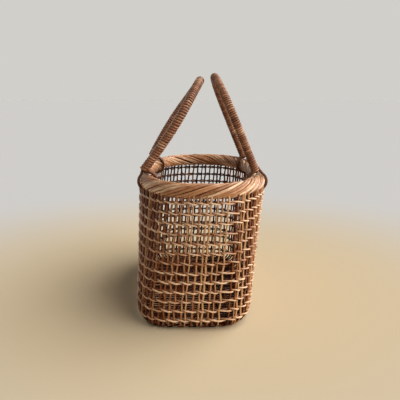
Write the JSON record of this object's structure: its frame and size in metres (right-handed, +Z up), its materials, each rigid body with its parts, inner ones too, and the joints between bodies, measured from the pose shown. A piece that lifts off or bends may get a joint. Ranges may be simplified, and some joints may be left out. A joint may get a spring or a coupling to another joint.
{
  "type": "basket",
  "caption": "Oval openwork basket of twined vine with a rolled border and two bound arch handles that swing on vine loops round the rim.",
  "frame": {"origin": "on the floor under the centre of the rim, on the underside of the base", "axes": "+Z up; X across the basket, +X to the right hand in the picture; +Y along the basket, away from the viewer"},
  "size_m": [0.137, 0.2404, 0.2422],
  "materials": {
    "stake_vine": "peeled brown vine, satin, darker along the grain",
    "weft_vine": "thin tan vine, satin, worn paler on the bends",
    "rim_vine": "golden brown vine, polished by use",
    "base_vine": "dark brown vine, matt",
    "core_vine": "dark vine bundle, matt",
    "wrap_vine": "reddish brown split vine, smooth satin",
    "loop_vine": "dark bark vine, slightly rough"
  },
  "bodies": {
    "basket": {"base_mat": "base_vine", "rim_border": "rim_vine", "wall_stakes_01": "stake_vine", "wall_stakes_02": "stake_vine", "wall_stakes_03": "stake_vine", "wall_stakes_04": "stake_vine", "wall_stakes_05": "stake_vine", "wall_stakes_06": "stake_vine", "wall_stakes_07": "stake_vine", "wall_stakes_08": "stake_vine", "wall_stakes_09": "stake_vine", "wall_stakes_10": "stake_vine", "wall_stakes_11": "stake_vine", "wall_stakes_12": "stake_vine", "wall_stakes_13": "stake_vine", "wall_stakes_14": "stake_vine", "wall_stakes_15": "stake_vine", "wall_stakes_16": "stake_vine", "foot_stakes_01": "stake_vine", "foot_stakes_02": "stake_vine", "foot_stakes_03": "stake_vine", "foot_stakes_04": "stake_vine", "foot_stakes_05": "stake_vine", "foot_stakes_06": "stake_vine", "foot_stakes_07": "stake_vine", "foot_stakes_08": "stake_vine", "foot_stakes_09": "stake_vine", "foot_stakes_10": "stake_vine", "foot_stakes_11": "stake_vine", "foot_stakes_12": "stake_vine", "foot_stakes_13": "stake_vine", "foot_stakes_14": "stake_vine", "foot_stakes_15": "stake_vine", "foot_stakes_16": "stake_vine", "weft_row_01": "weft_vine", "weft_row_02": "weft_vine", "weft_row_03": "weft_vine", "weft_row_04": "weft_vine", "weft_row_05": "weft_vine", "weft_row_06": "weft_vine", "weft_row_07": "weft_vine", "weft_row_08": "weft_vine", "weft_row_09": "weft_vine", "weft_row_10": "weft_vine", "weft_row_11": "weft_vine", "weft_row_12": "weft_vine", "weft_row_13": "weft_vine"},
    "left_handle": {"left_handle_core": "core_vine", "left_handle_wrap": "wrap_vine", "left_handle_near_loop": "loop_vine", "left_handle_far_loop": "loop_vine"},
    "right_handle": {"right_handle_core": "core_vine", "right_handle_wrap": "wrap_vine", "right_handle_near_loop": "loop_vine", "right_handle_far_loop": "loop_vine"}
  },
  "joints": [
    {"name": "left_handle_swing", "type": "hinge", "parent": "basket", "child": "left_handle", "pos_m": [-0.05441, 0, 0.1345], "axis": [0, 1, 0], "range_deg": [-112, 1.2]},
    {"name": "right_handle_swing", "type": "hinge", "parent": "basket", "child": "right_handle", "pos_m": [0.05441, 0, 0.1345], "axis": [0, -1, 0], "range_deg": [-114, 1.5]}
  ]
}
